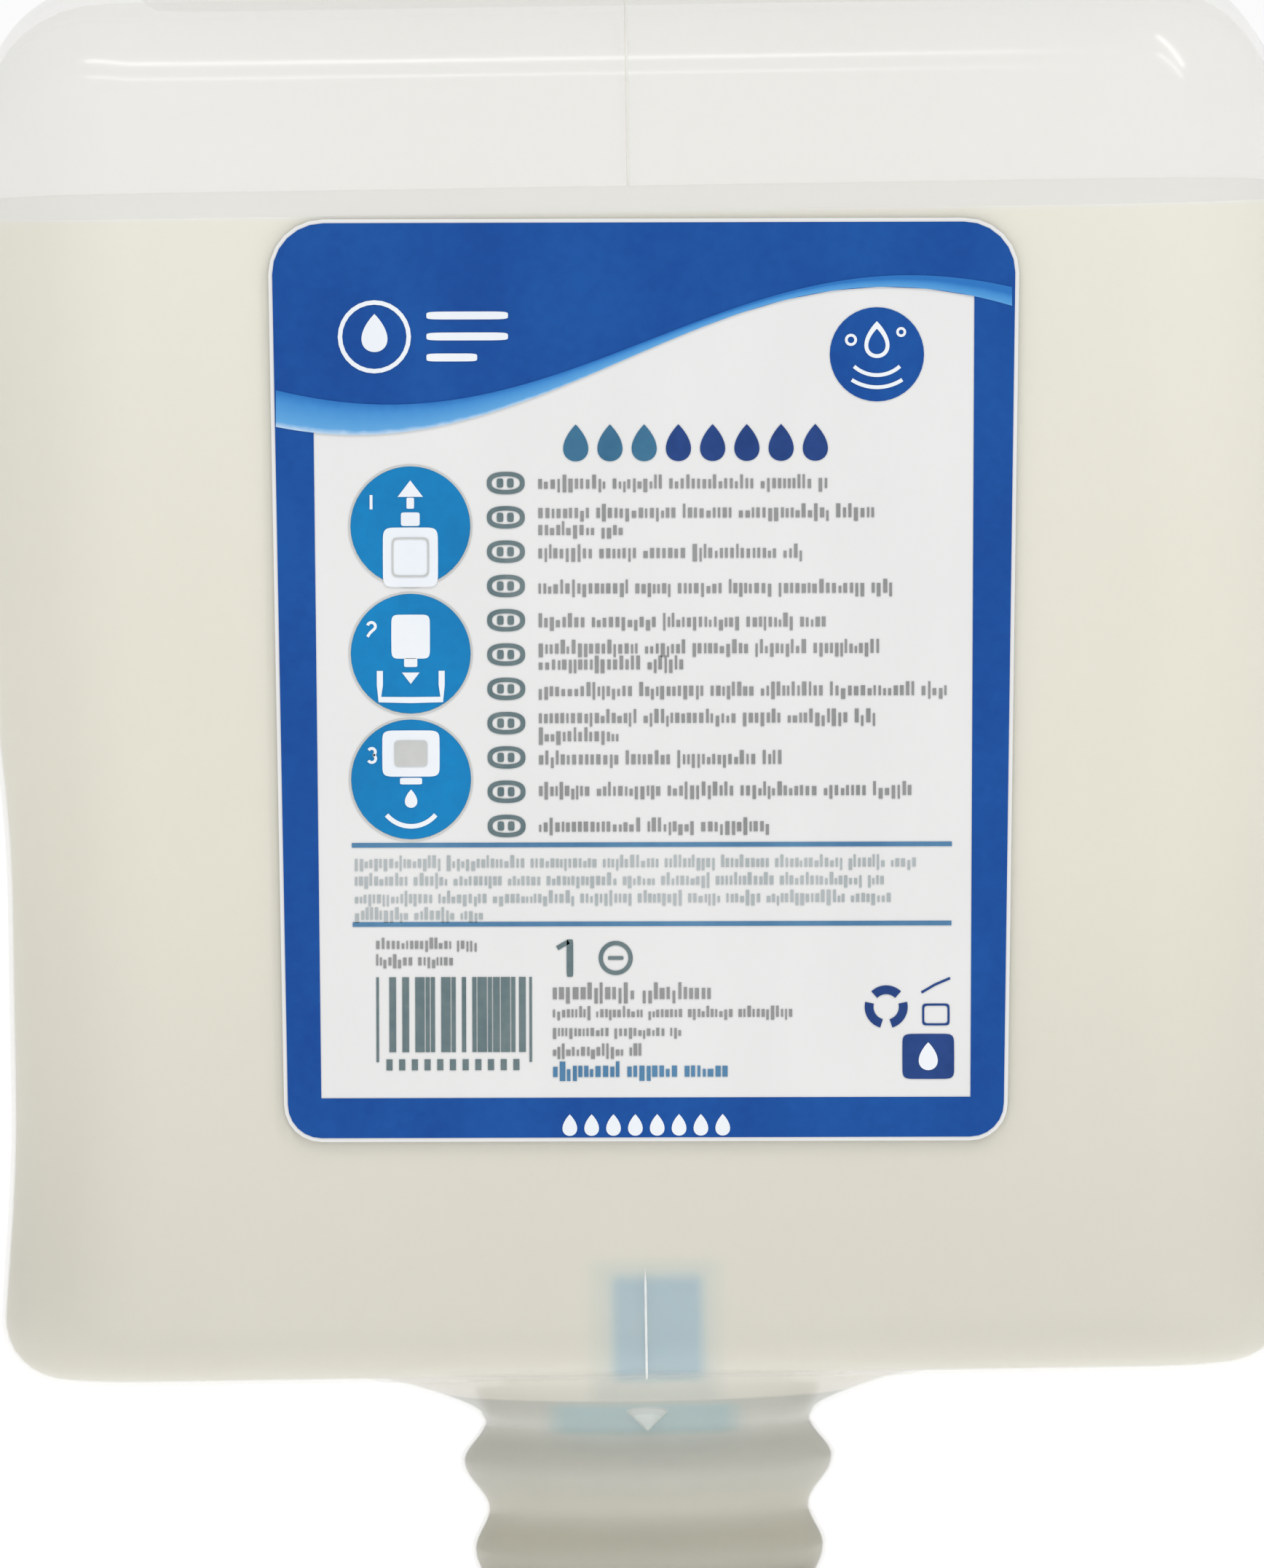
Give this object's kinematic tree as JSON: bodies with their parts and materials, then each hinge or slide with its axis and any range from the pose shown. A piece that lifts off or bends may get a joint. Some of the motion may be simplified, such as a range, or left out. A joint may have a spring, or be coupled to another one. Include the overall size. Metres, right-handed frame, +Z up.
{
  "type": "hand soap refill pack",
  "caption": "Rounded square translucent refill bottle of pale hand soap, neck down, with a dosing pump, a pull-off cap and a blue and white front label.",
  "frame": {"origin": "centre of the transit cap's underside, on the neck's axis", "axes": "+Z up along the neck's axis towards the bottle's base, -Y out of the labelled front, +X to the right seen from the front"},
  "size_m": [0.118, 0.0843, 0.1684],
  "materials": {
    "natural_polyethylene": "satin, translucent, natural milky blown polyethylene",
    "pale_yellow_soap": "cloudy pale yellow liquid soap",
    "blue_pump_plastic": "satin blue moulded polypropylene",
    "pale_pump_plastic": "satin natural moulded polypropylene",
    "valve_rubber": "pale silicone rubber",
    "cap_plastic": "satin pale moulded polyethylene",
    "label_film": "white satin film label",
    "label_dark_blue": "dark blue print",
    "label_light_blue": "light blue print",
    "label_mid_blue": "mid blue print",
    "label_rule_blue": "steel blue print",
    "label_slate": "slate grey print"
  },
  "bodies": {
    "pack": {"bottle": "natural_polyethylene", "soap_fill": "pale_yellow_soap", "inlet_fitting": "blue_pump_plastic", "inlet_valve": "valve_rubber", "pump_chamber": "pale_pump_plastic", "neck_gasket": "valve_rubber", "retaining_collar": "pale_pump_plastic", "label_sheet": "label_film", "label_blue_field": "label_dark_blue", "label_wave_band": "label_light_blue", "label_disc_1": "label_mid_blue", "label_disc_2": "label_mid_blue", "label_disc_3": "label_mid_blue", "label_bubble_mark": "label_dark_blue", "label_rule_1": "label_rule_blue", "label_rule_2": "label_rule_blue", "label_emblem_ring": "label_film", "label_heading_bar": "label_dark_blue", "label_bar_field": "label_slate"},
    "pump_piston": {"piston": "pale_pump_plastic", "outlet_valve": "valve_rubber"},
    "cap": {"transit_cap": "cap_plastic"}
  },
  "joints": [
    {"name": "piston_slide", "type": "slide", "parent": "pack", "child": "pump_piston", "axis": [0, 0, 1], "range_m": [0, 0.0065]},
    {"name": "cap_pull", "type": "slide", "parent": "pack", "child": "cap", "axis": [0, 0, -1], "range_m": [0, 0.03]}
  ]
}
